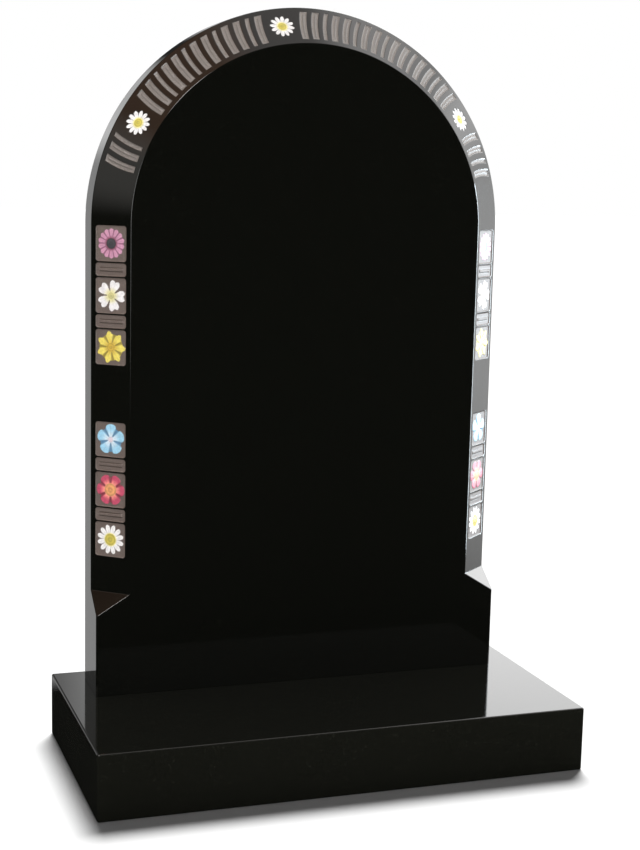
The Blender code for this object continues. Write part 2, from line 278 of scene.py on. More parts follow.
class Chamfer:
    """The chamfer's path and cross-section, worked out from the tablet's box and the sizes in the panel."""

    def __init__(self, sizes):
        self.on_face = sizes.chamfer_on_face
        self.on_side = sizes.chamfer_on_side
        self.crown_extra = sizes.crown_extra
        self.radius = sizes.edge_radius
        self.stop_radius = sizes.stop_radius
        self.seat = sizes.seat
        self.foot_share = sizes.foot_chamfer / sizes.chamfer_on_face
        self.width = math.hypot(self.on_face, self.on_side)
        self.stop_rise = sizes.stop_rise
        self.foot = sizes.foot_height + sizes.stop_rise
        self.upright = SPRING - BED - self.foot
        self.middle_radius = HALF_WIDTH - self.on_face / 2
        self.arch = math.pi * self.middle_radius
        self.whole = 2 * self.upright + self.arch

    def turn(self, along):
        """Angle of the outward direction: pi up the left side, down to 0 over the arch, 0 down the right."""
        return np.clip(np.pi - (along - self.upright) / self.middle_radius, 0.0, np.pi)

    def place(self, along, inset, y):
        """Points set in from the outline: the outward direction times what is left of the half width."""
        turn = self.turn(along)
        below = np.maximum(self.upright - along, 0.0) + np.maximum(along - self.whole + self.upright, 0.0)
        reach = HALF_WIDTH - inset
        height = SPRING - below + np.sin(turn) * reach
        return np.stack(np.broadcast_arrays(np.cos(turn) * reach, y, height), -1)

    def edges(self, along):
        """Width on the face and on the side, slant width, and the two edge roundings' tangent lengths."""
        over_foot = np.minimum(along, self.whole - along)
        grown = np.clip(1.0 + over_foot / self.stop_rise, 0.0, 1.0)
        size = self.foot_share + (1.0 - self.foot_share) * grown
        face = size * (self.on_face + self.crown_extra * np.sin(self.turn(along)) ** 2)
        side = size * self.on_side
        outer_turn = np.arctan2(face, side)
        outer = self.radius * np.tan(outer_turn / 2)
        inner = self.inner_radius(along) * np.tan((np.pi / 2 - outer_turn) / 2)
        return face, side, np.hypot(face, side), outer, inner

    def inner_radius(self, along):
        """Radius of the rounding between chamfer and face: wider along the stops, in an S at both ends."""
        over_foot = np.minimum(along, self.whole - along)
        ends = self.stop_rise / 4
        wide = smooth(-self.stop_rise - ends, -self.stop_rise, over_foot)
        wide = wide * (1.0 - smooth(-ends, 0.0, over_foot))
        return self.radius + (self.stop_radius - self.radius) * wide

    def outer_arc(self, along, step):
        """Point of the rounding between side and chamfer: a circle's arc from 0 to the turn between them."""
        face, side, _, outer, _ = self.edges(along)
        turn = np.arctan2(face, side) * step
        return self.radius * (1 - np.cos(turn)), FRONT + side + outer - self.radius * np.sin(turn)

    def inner_arc(self, along, step):
        """Point of the rounding between chamfer and face: a circle's arc between their two lines."""
        face, side, slant, _, inner = self.edges(along)
        turn = (np.pi / 2 - np.arctan2(face, side)) * step
        radius = self.inner_radius(along)
        forth = radius * np.sin(turn) - inner
        into = radius * (1 - np.cos(turn))
        return face + (forth * face + into * side) / slant, FRONT + (into * face - forth * side) / slant

    def slope(self, along, across, depth):
        """Point on the slanting face: a share of the way from outer to inner edge, sunk square to it."""
        face, side, slant, outer, inner = self.edges(along)
        part = (outer + across * (slant - outer - inner)) / slant
        inset = face * part + depth * self.on_side / self.width
        return inset, FRONT + side * (1 - part) + depth * self.on_face / self.width, part * self.width

    def seam(self, along):
        """The four corners of the seat: on the side, under it, under the face and on the face."""
        face, side, _, outer, inner = self.edges(along)
        on_side = FRONT + side + outer + FLAT_ROW
        on_face = face + inner + FLAT_ROW
        return ((0.0, on_side), (self.seat, on_side), (on_face, FRONT + self.seat), (on_face, FRONT))

    def side_stations(self, carving):
        """Places from the left bed to the springing: close at the stop and along the carved groups."""
        stop = np.linspace(-self.stop_rise, 0.0, STOP_STEPS + 1)
        creases = [-self.stop_rise - CREASE_STEP, -self.stop_rise + CREASE_STEP, -CREASE_STEP, CREASE_STEP]
        parts = [[-self.foot], stop, creases]
        for start in group_starts(self, carving):
            count = round((group_length(carving) + 2 * carving.wall) / FINE_ALONG)
            top = self.upright - start + carving.wall
            parts.append(np.linspace(top - group_length(carving) - 2 * carving.wall, top, count + 1))
        places = np.unique(np.concatenate(parts))
        return np.append(places[places < self.upright - CREASE_STEP], self.upright)

    def arch_stations(self, carving):
        """Places over the arch, alike from both springings to the crown: coarse, then fine."""
        plain = carving.band_end * self.middle_radius - 4 * carving.wall
        coarse = np.linspace(0.0, plain, round(plain / COARSE_ARCH_STEP) + 1)
        fine = np.linspace(plain, self.arch / 2, round((self.arch / 2 - plain) / FINE_ALONG_ARCH) + 1)
        half = np.concatenate((coarse, fine[1:]))
        return self.upright + np.concatenate((half, self.arch - half[-2::-1]))


def group_length(carving):
    """Length of a group of panels and the bars between them."""
    bars = (PANELS_IN_GROUP - 1) * (carving.bar_length + 2 * carving.joint)
    return PANELS_IN_GROUP * carving.panel_length + bars


def group_starts(chamfer, carving):
    """Distance of each group's first edge down from the springing."""
    room = chamfer.upright - carving.top_gap - carving.foot_gap
    spare = (room - GROUPS_ON_SIDE * group_length(carving)) / (GROUPS_ON_SIDE - 1)
    return [carving.top_gap + number * (group_length(carving) + spare) for number in range(GROUPS_ON_SIDE)]


class Relief:
    """Depth, colour and finish of every point of a stretch of the chamfer, carved patch by patch."""

    def __init__(self, along, across, width, carving, colours):
        self.along = along
        self.across = across - width / 2
        self.carving = carving
        self.colours = colours
        self.half = width / 2 - carving.margin
        self.depth = np.zeros(along.shape)
        self.matt = np.zeros(along.shape)
        self.paint = np.zeros(along.shape + (4,))

    def window(self, middle, reach):
        """The columns within reach of a place, or none of them."""
        near = np.nonzero(np.any(np.abs(self.along - middle) < reach, axis=1))[0]
        return slice(near[0], near[-1] + 1) if len(near) else slice(0)

    def hollow(self, here, away, depth, stone):
        """Sinks the inside of an outline, given the distance outside it: an S-shaped wall, a flat floor."""
        wall = self.carving.wall
        self.depth[here] = np.maximum(self.depth[here], depth * smooth(0.0, wall, -away))
        blasted = smooth(-wall / 4, wall / 4, -away)
        self.matt[here] = np.maximum(self.matt[here], blasted)
        self.paint[here][blasted > 0, :3] = stone

    def box(self, here, u, length_, width_):
        """Distance outside a rectangle with round corners."""
        radius = min(self.carving.corner_radius, length_ / 2, width_ / 2)
        over_u = np.abs(u) - length_ / 2 + radius
        over_v = np.abs(self.across[here]) - width_ / 2 + radius
        corner = np.hypot(np.maximum(over_u, 0.0), np.maximum(over_v, 0.0))
        return corner + np.minimum(np.maximum(over_u, over_v), 0.0) - radius

    def sunk_box(self, middle, length_):
        """Sinks a box across the band, and gives its columns and how far their points lie past its middle."""
        here = self.window(middle, length_)
        u = self.along[here] - middle
        outside = self.box(here, u, length_, 2 * self.half)
        self.hollow(here, outside, self.carving.panel_depth, self.colours.blasted)
        return here, u

    def bar(self, middle):
        """Sunk bar with a rib along its middle and a fine dark line on both sides of the rib."""
        carving = self.carving
        here, u = self.sunk_box(middle, carving.bar_length)
        reach = self.half - carving.rib_inset
        ends = smooth(0.0, carving.wall, reach - np.abs(self.across[here]))
        rib = ends * smooth(0.0, carving.wall, carving.rib_width / 2 + carving.wall / 2 - np.abs(u))
        self.depth[here] -= rib * (carving.panel_depth - carving.rib_depth)
        past_rib = np.abs(u) - carving.rib_width / 2 - carving.wall / 2
        foot = np.exp(-(past_rib / (RIB_LINE_WIDTH * carving.wall)) ** 2)
        self.matt[here] *= 1.0 - RIB_LINE * ends * foot

    def stroke(self, middle, width_):
        """Sunk leaning stroke, bowed by a parabola; a broad one keeps a fine line along its middle."""
        carving = self.carving
        here = self.window(middle, width_ + carving.stroke_lean)
        part = self.across[here] / (2 * self.half)
        u = self.along[here] - middle + lean(part, carving)
        end = np.abs(self.across[here]) - self.half
        outside = np.maximum(np.abs(u) - width_ / 2, end)
        self.hollow(here, outside, carving.stroke_depth, self.colours.stroke)
        if width_ < STROKE_WIDTHS[0]:
            return
        ends = smooth(0.0, carving.wall, -end - carving.inline_inset)
        near = carving.inline_width / 2 - np.abs(u)
        self.depth[here] -= INLINE_RISE * carving.stroke_depth * ends * smooth(-carving.wall, 0.0, near)
        self.matt[here] *= 1.0 - INLINE_GLOSS * ends * smooth(-carving.wall / 2, carving.wall / 4, near)

    def flower(self, middle, room, kind, floor, petal_depth, centre_depth, top=0.0):
        """Flower in low relief, in polar terms about its middle.

        The edge lies at valley + (1 - valley) times a superellipse of the share of the half petal, less the
        notch. Each petal is a low dome across and falls towards its tip, with a crease along each valley and
        a fine vein. The centre is a low dome with rings of small grains.
        """
        radius = room * kind.size
        here = self.window(middle, radius * FLOWER_REACH)
        u, v = self.along[here] - middle, self.across[here]
        r = np.hypot(u, v)
        around = (np.arctan2(v, u) - top - math.radians(kind.turn)) / (2 * np.pi) * kind.petals % 1.0
        half_petal = 1.0 - np.abs(2 * around - 1)

        def reach(part):
            within = np.clip(np.abs(part) / kind.fill, 0.0, 1.0)
            end = (1 - within ** kind.roundness) ** (1 / kind.roundness)
            notch = kind.notch * np.maximum(0.0, 1 - within / NOTCH_REACH)
            return radius * (kind.valley + (1 - kind.valley) * end - notch)

        slant = (reach(half_petal + SLANT_STEP) - reach(half_petal - SLANT_STEP)) / (2 * SLANT_STEP)
        wall = self.carving.wall
        slant = slant * kind.petals / np.pi / np.maximum(r, wall)
        inside = (reach(half_petal) - r) / np.hypot(1.0, slant)
        shape = smooth(PETAL_EDGE[0] * wall, PETAL_EDGE[1] * wall, inside)
        out = r / radius
        outside_centre = smooth(kind.centre, kind.centre * CENTRE_CLEAR, out)
        from_valley = r * (1 - half_petal) * np.pi / kind.petals
        crease = np.exp(-(from_valley / (CREASE * wall)) ** 2) * outside_centre
        vein = np.exp(-(r * half_petal * np.pi / kind.petals / (VEIN * wall)) ** 2) * outside_centre
        rise = floor - petal_depth
        petal = rise * shape * (1.0 - DOME * half_petal ** 2 - DROOP * out ** 3)
        petal -= rise * shape * (CREASE_SINK * crease + VEIN_SINK * vein)
        knob = np.sqrt(np.clip(1 - (out / kind.centre) ** 2, 0.0, 1.0))
        grains = np.cos(out / kind.centre * GRAIN_RINGS * np.pi) * np.cos(4 * np.pi * around)
        centre = (floor - centre_depth) * knob + GRAIN_RISE * floor * grains * (knob > KNOB_EDGE)
        raised = np.maximum(petal, np.where(knob > 0, centre, petal))
        ground = self.depth[here]
        self.depth[here] = np.where(shape > 0, ground * (1 - shape) + floor * shape, ground) - raised
        self.paint_flower(here, kind, shape, out, half_petal, crease, vein)

    def paint_flower(self, here, kind, shape, out, half_petal, crease, vein):
        """Paint: throat to petal colour outwards, darker in creases and veins and between the petals."""
        petal, throat, centre = (np.array(getattr(self.colours, kind.paint + part))
                                 for part in ("", "_throat", "_centre"))
        outer = smooth(kind.centre, kind.centre + kind.throat, out)[..., None]
        paint = throat + (petal - throat) * outer
        paint = paint * (1.0 - CREASE_TONE * crease - VEIN_TONE * vein)[..., None]
        if kind.shade > 0.0:
            start = kind.centre * GAP_START
            between = smooth(*GAP_PART, half_petal) * smooth(start, start + GAP_FADE, out)
            gap = np.array(getattr(self.colours, kind.paint + "_gap"))
            paint = paint + (gap - paint) * between[..., None]
        in_centre = (1.0 - smooth(kind.centre * CENTRE_RIM[0], kind.centre * CENTRE_RIM[1], out))[..., None]
        rings = np.cos(out / kind.centre * GRAIN_RINGS * np.pi)[..., None]
        grain = 1.0 - GRAIN_TONE + GRAIN_TONE * rings
        paint = paint * (1.0 - in_centre) + centre * grain * in_centre
        shaded = 1.0 - smooth(kind.shade - SHADE_EDGE, kind.shade + SHADE_EDGE, out)
        cover = np.maximum(smooth(*PAINT_EDGE, shape), shaded)
        self.paint[here][..., :3] = np.where(cover[..., None] > 0, paint, self.paint[here][..., :3])
        self.paint[here][..., 3] = np.maximum(self.paint[here][..., 3], cover)
        self.matt[here] = np.maximum(self.matt[here], cover)

    def panel(self, middle, kind, mirrored):
        """Sunk panel with its flower, which stands upright on both sides."""
        carving = self.carving
        self.sunk_box(middle, carving.panel_length)
        room = min(carving.panel_length, 2 * self.half) / 2 - carving.flower_margin
        self.flower(middle, room, kind, carving.panel_depth, carving.petal_depth, carving.centre_depth,
                    math.pi if mirrored else 0.0)

    def side(self, chamfer, mirrored):
        """Panels and bars of one upright stretch, from the springing down."""
        carving = self.carving
        pitch = carving.panel_length + carving.bar_length + 2 * carving.joint
        for group, start in enumerate(group_starts(chamfer, carving)):
            for number in range(PANELS_IN_GROUP):
                down = start + carving.panel_length / 2 + number * pitch
                place = chamfer.upright - down
                bar_place = place - pitch / 2
                if mirrored:
                    place, bar_place = chamfer.whole - place, chamfer.whole - bar_place
                self.panel(place, FLOWERS[(group * PANELS_IN_GROUP + number) % len(FLOWERS)], mirrored)
                if number < PANELS_IN_GROUP - 1:
                    self.bar(bar_place)

    def stroke_run(self, start, end):
        """As many strokes as there is room for from one place to another, spread to fill it."""
        carving = self.carving
        first = start + carving.stroke_lean / 2 + carving.stroke_bow
        room = end - carving.stroke_lean / 2 - first
        widths = [STROKE_WIDTHS[0]]
        while True:
            width_ = STROKE_WIDTHS[len(widths) % len(STROKE_WIDTHS)]
            if sum(widths) + width_ + len(widths) * carving.stroke_gap > room:
                break
            widths.append(width_)
        gap = (room - sum(widths)) / max(1, len(widths) - 1)
        for number, width_ in enumerate(widths):
            self.stroke(first + sum(widths[:number]) + number * gap + width_ / 2, width_)

    def over_arch(self, chamfer):
        """Runs of strokes over the arch and the daisies between them."""
        carving = self.carving
        half_gap = carving.daisy_radius + carving.daisy_clearance
        start = chamfer.upright + carving.band_end * chamfer.middle_radius
        for turn in DAISY_ANGLES:
            middle = chamfer.upright + (math.pi - turn) * chamfer.middle_radius
            self.stroke_run(start, middle - half_gap)
            self.flower(middle, carving.daisy_radius, ARCH_DAISY, carving.daisy_depth * DAISY_FLOOR,
                        carving.daisy_depth / 2, carving.daisy_centre_depth)
            start = middle + half_gap
        self.stroke_run(start, chamfer.upright + chamfer.arch - carving.band_end * chamfer.middle_radius)


def lean(part, carving):
    """How far a stroke's line lies back at a share across the chamfer: a slant and a parabola."""
    return carving.stroke_lean * part + carving.stroke_bow * (1 - 4 * part ** 2)


def put_mesh(name, points, quads, polygons, slot):
    """Makes a closed piece of points, quads and larger polygons, smooth but for its sharp corners."""
    mesh = bpy.data.meshes.new(name)
    corners = np.concatenate([np.asarray(quads).ravel(), *[np.asarray(polygon) for polygon in polygons]])
    sizes = np.array([4] * len(quads) + [len(polygon) for polygon in polygons])
    mesh.vertices.add(len(points))
    mesh.vertices.foreach_set("co", np.asarray(points, np.float32).ravel())
    mesh.loops.add(len(corners))
    mesh.loops.foreach_set("vertex_index", corners.astype(np.int32))
    mesh.polygons.add(len(sizes))
    mesh.polygons.foreach_set("loop_start", np.concatenate(([0], np.cumsum(sizes)[:-1])).astype(np.int32))
    mesh.update(calc_edges=True)
    mesh.shade_smooth()
    mesh.set_sharp_from_angle(angle=SHARP_ANGLE)
    mesh.materials.append(bpy.data.materials[slot.replace("_", " ")])
    piece = bpy.data.objects.new(name, mesh)
    bpy.context.scene.collection.objects.link(piece)
    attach(piece, "root")
    return piece


def grid_quads(columns, rows, closed):
    """Quads of a grid numbered row by row within each column; closed joins the last row to the first."""
    steps = rows if closed else rows - 1
    column, row = np.meshgrid(np.arange(columns - 1), np.arange(steps), indexing="ij")
    after = (row + 1) % rows
    near, far = column * rows, (column + 1) * rows
    return np.stack((near + row, near + after, far + after, far + row), -1).reshape(-1, 4)


def across_rows(chamfer, carving):
    """Shares of the slanting face from its outer to its inner edge: coarse margins and a fine middle."""
    outer, inner = (float(x) for x in chamfer.edges(np.array(0.0))[3:])
    span = chamfer.width - outer - inner
    first = carving.margin - carving.wall
    last = chamfer.width - first
    fine = np.linspace(first, last, round((last - first) / FINE_ACROSS) + 1)
    low = np.linspace(outer, first, MARGIN_ROWS + 1)[1:-1]
    high = np.linspace(last, chamfer.width - inner, MARGIN_ROWS + 1)[1:-1]
    return (np.concatenate((low, fine, high)) - outer) / span


def make_skin(name, chamfer, along, carve, leaning, scene):
    """Closed skin of the chamfer: its cross-section carried along the path, with the carving sunk in it.

    Over the arch the grid's lines lean and bow like the strokes, by a shift that fades out towards the
    chamfer's edges and the springings.
    """
    carving = scene.headstone_carving
    rows = across_rows(chamfer, carving)
    steps = np.linspace(0.0, 1.0, EDGE_STEPS + 1)
    column = along[:, None]
    across = chamfer.slope(column, rows[None, :], 0.0)[2]
    shifted = column + np.zeros_like(across)
    if leaning:
        part = (across - chamfer.width / 2) / (chamfer.width - 2 * carving.margin)
        fade = smooth(0.0, carving.margin * LEAN_FADE, chamfer.width / 2 - np.abs(across - chamfer.width / 2))
        from_spring = np.minimum(column - along[0], along[-1] - column)
        fade = fade * smooth(0.0, carving.band_end * chamfer.middle_radius * LEAN_FADE, from_spring)
        shifted = shifted - fade * lean(part, carving)
    relief = Relief(shifted, across, chamfer.width, carving, scene.headstone_colours)
    carve(relief)
    seam = chamfer.seam(column)
    outer = chamfer.outer_arc(column, steps[None, :])
    slope = chamfer.slope(shifted, rows[None, :], relief.depth)
    inner = chamfer.inner_arc(column, steps[None, :])
    parts = ((column, seam[1]), (column, seam[0]), (column, outer), (shifted, slope[:2]), (column, inner),
             (column, seam[3]), (column, seam[2]))
    points = np.concatenate([chamfer.place(place, *part) for place, part in parts], axis=1)
    columns, total = points.shape[:2]
    caps = [np.arange(total)[::-1], (columns - 1) * total + np.arange(total)]
    quads = grid_quads(columns, total, True)
    skin = put_mesh(name, points.reshape(-1, 3), quads, caps, "tablet_granite")
    before = 2 + len(steps)
    paint = np.zeros((columns, total, 4))
    paint[:, before:before + len(rows)] = relief.paint
    matt = np.zeros((columns, total))
    matt[:, before:before + len(rows)] = relief.matt
    store(skin.data, "paint", "FLOAT_COLOR", "color", paint)
    store(skin.data, "matt", "FLOAT", "value", matt)
    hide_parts("headstone")


def store(mesh, name, kind, key, values):
    """Keeps a value or colour of each point on the mesh."""
    attribute = mesh.attributes.new(name, kind, "POINT")
    attribute.data.foreach_set(key, values.astype(np.float32).ravel())


def make_body(chamfer, along, scene):
    """The tablet but for its skins: a strip from the back round the side to the face, and ladders across.

    The strip's cross-section is a quarter circle at the back edge, the side, the seat and the face's edge.
    The faces are ladders between the left and right halves of the strip, and the underside is one polygon.
    """
    radius = scene.headstone_tablet.back_radius
    turn = np.linspace(0.0, np.pi / 2, EDGE_STEPS + 1)
    column = along[:, None]
    back = [(radius + FLAT_ROW, BACK)]
    back += [(radius * (1 - math.sin(t)), BACK - radius * (1 - math.cos(t))) for t in turn]
    back.append((0.0, BACK - radius - FLAT_ROW))
    strip = [chamfer.place(column, inset, y) for inset, y in back + list(chamfer.seam(column))]
    points = np.concatenate(strip, axis=1)
    columns, rows = points.shape[:2]
    quads = grid_quads(columns, rows, False)
    middle = (columns - 1) // 2
    left = np.arange(middle - 1)
    right = columns - 1 - left
    last = rows - 1
    ladder = np.stack(((left + 1) * rows, left * rows, right * rows, (right - 1) * rows), -1)
    face = ladder + last
    rear = ladder[:, [1, 0, 3, 2]]
    crown = [middle * rows + last, (middle - 1) * rows + last, (middle + 1) * rows + last]
    rear_crown = [(middle - 1) * rows, middle * rows, (middle + 1) * rows]
    underside = np.concatenate((np.arange(rows)[::-1], (columns - 1) * rows + np.arange(rows)))
    body = put_mesh("tablet_body", points.reshape(-1, 3), np.concatenate((quads, face, rear)),
                    [crown, rear_crown, underside], "tablet_granite")
    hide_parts("headstone")


def make_base(radius):
    """The base: a strip of rounded edges carried round a rectangle with rounded corners, and two flat faces.

    Each column's point is a corner's centre plus a reach times a direction round it; each row's reach is
    that of a quarter circle up from the floor and another over to the top. The corners' radius is a little
    larger than the edges', so the flat faces keep small round corners of their own.
    """
    quarter = np.linspace(0.0, np.pi / 2, EDGE_STEPS + 1)
    corner = radius + FLAT_ROW + CORNER_SPARE
    half = Vector((BASE_HIGH.x, (BASE_HIGH.y - BASE_LOW.y) / 2))
    middle_y = (BASE_HIGH.y + BASE_LOW.y) / 2
    across, corner_x, corner_y = [], [], []
    for number, (x, y) in enumerate(((1, 1), (-1, 1), (-1, -1), (1, -1))):
        before = number * np.pi / 2
        across += [before, *(before + quarter), before + np.pi / 2]
        ahead = np.array((math.sin(before), -math.cos(before)))
        behind = np.array((-math.cos(before), -math.sin(before)))
        starts = [ahead * FLAT_ROW] + [np.zeros(2)] * len(quarter) + [behind * FLAT_ROW]
        corner_x += [x * (half.x - corner) + s[0] for s in starts]
        corner_y += [middle_y + y * (half.y - corner) + s[1] for s in starts]
    around = np.array(across)[:, None]
    over_edge = radius * np.sin(quarter)
    flat = [-FLAT_ROW]
    out = np.concatenate((flat, over_edge, [radius, radius], over_edge[::-1], flat)) + corner - radius
    side = [radius + FLAT_ROW, BASE_HIGH.z - radius - FLAT_ROW]
    height = np.concatenate(([0.0], radius * (1 - np.cos(quarter)), side,
                             BASE_HIGH.z - radius * (1 - np.sin(quarter)), [BASE_HIGH.z]))
    x = np.array(corner_x)[:, None] + np.cos(around) * out
    y = np.array(corner_y)[:, None] + np.sin(around) * out
    points = np.stack(np.broadcast_arrays(x, y, height), -1)
    columns, rows = points.shape[:2]
    quads = grid_quads(columns + 1, rows, False)[:, ::-1] % (columns * rows)
    top = np.arange(columns) * rows + rows - 1
    bottom = (np.arange(columns) * rows)[::-1]
    base = put_mesh("polished_base", points.reshape(-1, 3), quads, [top, bottom], "base_granite")
    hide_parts("base")


class Graph:
    """A material's or the world's node tree, with short ways to add nodes."""

    def __init__(self, owner):
        owner.use_nodes = True
        self.tree = owner.node_tree
        self.tree.nodes.clear()

    def add(self, kind, sockets=None, **settings):
        """A node with its settings; its sockets, by name or number, take a value or a node's output."""
        node = self.tree.nodes.new(kind)
        for name, value in settings.items():
            setattr(node, name, value)
        for key, value in (sockets or {}).items():
            if isinstance(value, bpy.types.NodeSocket):
                self.tree.links.new(value, node.inputs[key])
            else:
                node.inputs[key].default_value = value
        return node

    def math(self, operation, first, second=0.0):
        """Output of a Math node."""
        return self.add("ShaderNodeMath", {0: first, 1: second}, operation=operation).outputs[0]

    def noise(self, place, scale, detail, roughness=0.5):
        """Output of a Noise Texture."""
        sockets = {"Vector": place, "Scale": scale, "Detail": detail, "Roughness": roughness}
        return self.add("ShaderNodeTexNoise", sockets).outputs[0]

    def mix(self, factor, first, second, blend="MIX"):
        """Output of a colour mix."""
        node = self.add("ShaderNodeMix", data_type="RGBA", blend_type=blend)
        for key, value in ((0, factor), (6, first), (7, second)):
            if isinstance(value, bpy.types.NodeSocket):
                self.tree.links.new(value, node.inputs[key])
            else:
                node.inputs[key].default_value = (*value, 1.0) if key > 0 else value
        return node.outputs[2]

    def ramp(self, value, low, high, to_low=0.0, to_high=1.0, smooth_step=True):
        """Maps a value's range to another, in an S or a straight line."""
        kind = "SMOOTHSTEP" if smooth_step else "LINEAR"
        sockets = {"Value": value, "From Min": low, "From Max": high, "To Min": to_low, "To Max": to_high}
        return self.add("ShaderNodeMapRange", sockets, interpolation_type=kind).outputs[0]


def scaled(colour_, factor):
    """A colour made lighter or darker by one factor."""
    return tuple(min(1.0, channel * factor) for channel in colour_)


def polish(graph, place, stone):
    """Colour and roughness of polished granite: fine dark grains, a slow drift and a few paler flecks."""
    grain = graph.noise(place, GRAIN_SCALE, 4.0, 0.65)
    drift = graph.noise(place, DRIFT_SCALE, 2.0)
    cells = graph.add("ShaderNodeTexVoronoi", {"Vector": place, "Scale": FLECK_SCALE}).outputs["Color"]
    fleck = graph.ramp(graph.add("ShaderNodeSeparateColor", {0: cells}).outputs[0], 0.95, 1.0)
    body = graph.mix(graph.ramp(grain, 0.35, 0.68), scaled(stone, 0.75), scaled(stone, 1.25))
    body = graph.mix(graph.ramp(drift, 0.40, 0.62), body, stone)
    return graph.mix(fleck, body, scaled(stone, 2.0)), graph.ramp(grain, 0.30, 0.70, *POLISH)


def tablet_granite(colours):
    """Polished black granite that turns matt where it is blasted, and takes paint where the flowers are."""
    material = bpy.data.materials.new("tablet granite")
    graph = Graph(material)
    place = graph.add("ShaderNodeTexCoord").outputs["Object"]
    polished, gloss = polish(graph, place, colours.tablet)
    paint = graph.add("ShaderNodeAttribute", attribute_name="paint")
    matt = graph.add("ShaderNodeAttribute", attribute_name="matt").outputs["Fac"]
    pits = graph.noise(place, PIT_SCALE, 3.0, 0.7)
    streak = graph.noise(place, STREAK_SCALE, 3.0, 0.6)
    pale = graph.ramp(pits, 0.36, 0.64, 0.66, 1.22)
    brushed = graph.ramp(streak, 0.36, 0.64, 0.88, 1.06)
    shade = graph.mix(paint.outputs["Alpha"], pale, brushed)
    rough_colour = graph.mix(1.0, paint.outputs["Color"], shade, "MULTIPLY")
    whole = graph.mix(matt, polished, rough_colour)
    dull = graph.ramp(paint.outputs["Alpha"], 0.0, 1.0, BLASTED_ROUGHNESS, PAINT_ROUGHNESS)
    roughness = graph.add("ShaderNodeMix", {0: matt, 2: gloss, 3: dull}, data_type="FLOAT").outputs[0]
    depth = graph.math("MULTIPLY", matt, graph.ramp(paint.outputs["Alpha"], 0.0, 1.0, 1.0, 0.35))
    stipple = graph.math("MULTIPLY", pits, depth)
    bump = graph.add("ShaderNodeBump", {"Height": stipple, "Strength": 0.55, "Distance": PIT_DEPTH})
    sockets = {"Base Color": whole, "Roughness": roughness, "IOR": STONE_IOR, "Normal": bump.outputs[0],
               "Specular IOR Level": graph.ramp(matt, 0.0, 1.0, 0.5, 1.0)}
    shader = graph.add("ShaderNodeBsdfPrincipled", sockets)
    graph.add("ShaderNodeOutputMaterial", {0: shader.outputs[0]})


def base_granite(colours):
    """Polished black granite of the base, in a colour about twice the tablet's: painted light that brightens
    the base.
    """
    material = bpy.data.materials.new("base granite")
    graph = Graph(material)
    place = graph.add("ShaderNodeTexCoord").outputs["Object"]
    polished, gloss = polish(graph, place, colours.base)
    sockets = {"Base Color": polished, "Roughness": gloss, "IOR": STONE_IOR}
    shader = graph.add("ShaderNodeBsdfPrincipled", sockets)
    graph.add("ShaderNodeOutputMaterial", {0: shader.outputs[0]})


# Soft boxes round the stone, seen by mirrored rays alone: direction, inner and outer angle, light
SOFT_BOXES = (
    ((0.94, 0.30, 0.13), 10.0, 29.0, (1.76, 1.76, 1.76)),  # right
    ((0.82, 0.42, 0.39), 4.0, 10.0, (4.0, 4.0, 4.0)),  # right, above the stop
    ((0.72, 0.12, 0.68), 10.0, 34.0, (1.8, 1.8, 1.8)),  # upper right
    ((0.52, 0.80, 0.30), 12.0, 24.0, (2.9, 2.9, 2.9)),  # behind, to the right
    ((0.16, 0.94, 0.30), 1.0, 6.0, (0.2, 0.2, 0.2)),  # behind
    ((-0.19, 0.94, 0.30), 4.0, 12.0, (0.25, 0.25, 0.25)),  # behind, high to the left
    ((-0.22, 0.97, -0.12), 12.0, 22.0, (0.55, 0.55, 0.55)),  # behind, low to the left
    ((-0.04, 0.98, 0.19), 3.0, 9.0, (0.8, 0.8, 0.8)),  # behind, to the left
    ((0.32, 0.0, 0.95), 14.0, 40.0, (0.90, 0.85, 0.83)),  # overhead
    ((-0.50, -0.30, 0.80), 12.0, 34.0, (0.60, 0.35, 0.24)),  # warm, upper left
    ((-0.88, -0.33, 0.33), 3.0, 19.0, (0.60, 0.58, 0.55)),  # left
    ((-0.39, -0.58, 0.71), 5.0, 12.0, (16.0, 16.0, 16.0)),  # in front, upper left
    ((-0.46, -0.87, 0.08), 5.0, 14.0, (6.0, 6.0, 6.0)),  # in front, to the left
    ((0.30, -0.89, 0.34), 6.0, 13.0, (0.15, 0.15, 0.15)),  # in front, to the right
    ((0.77, -0.48, 0.42), 10.0, 22.0, (4.0, 4.0, 4.0)),  # in front, upper right
)
AROUND = (0.012, 0.012, 0.012)  # between the soft boxes
AMBIENT = 0.16  # share of the white surroundings that lights matt surfaces
SHADE_REACH = 0.26  # how far the dark card on the floor reaches past the base
SHADE_FADE = 0.10
SHADE_TONE = (0.004, 0.004, 0.004)
CARD_HEIGHT = 0.0004

# Lamps: places, targets, sizes and colour
SIDE_PLACE, SIDE_TARGET = (2.6, 0.29, 0.38), (0.25, 0.0, 0.40)
SIDE_WIDTH, SIDE_HEIGHT = 0.7, 1.4
SIDE_COLOUR = (0.80, 0.92, 1.0)
KEY_PLACE, KEY_ANGLE = (0.68, 1.60, 2.75), math.radians(27.0)
FILL_PLACE, FILL_ANGLE = (-0.25, -0.8, 1.5), math.radians(150.0)
SENSOR = 36.0  # long side, in millimetres


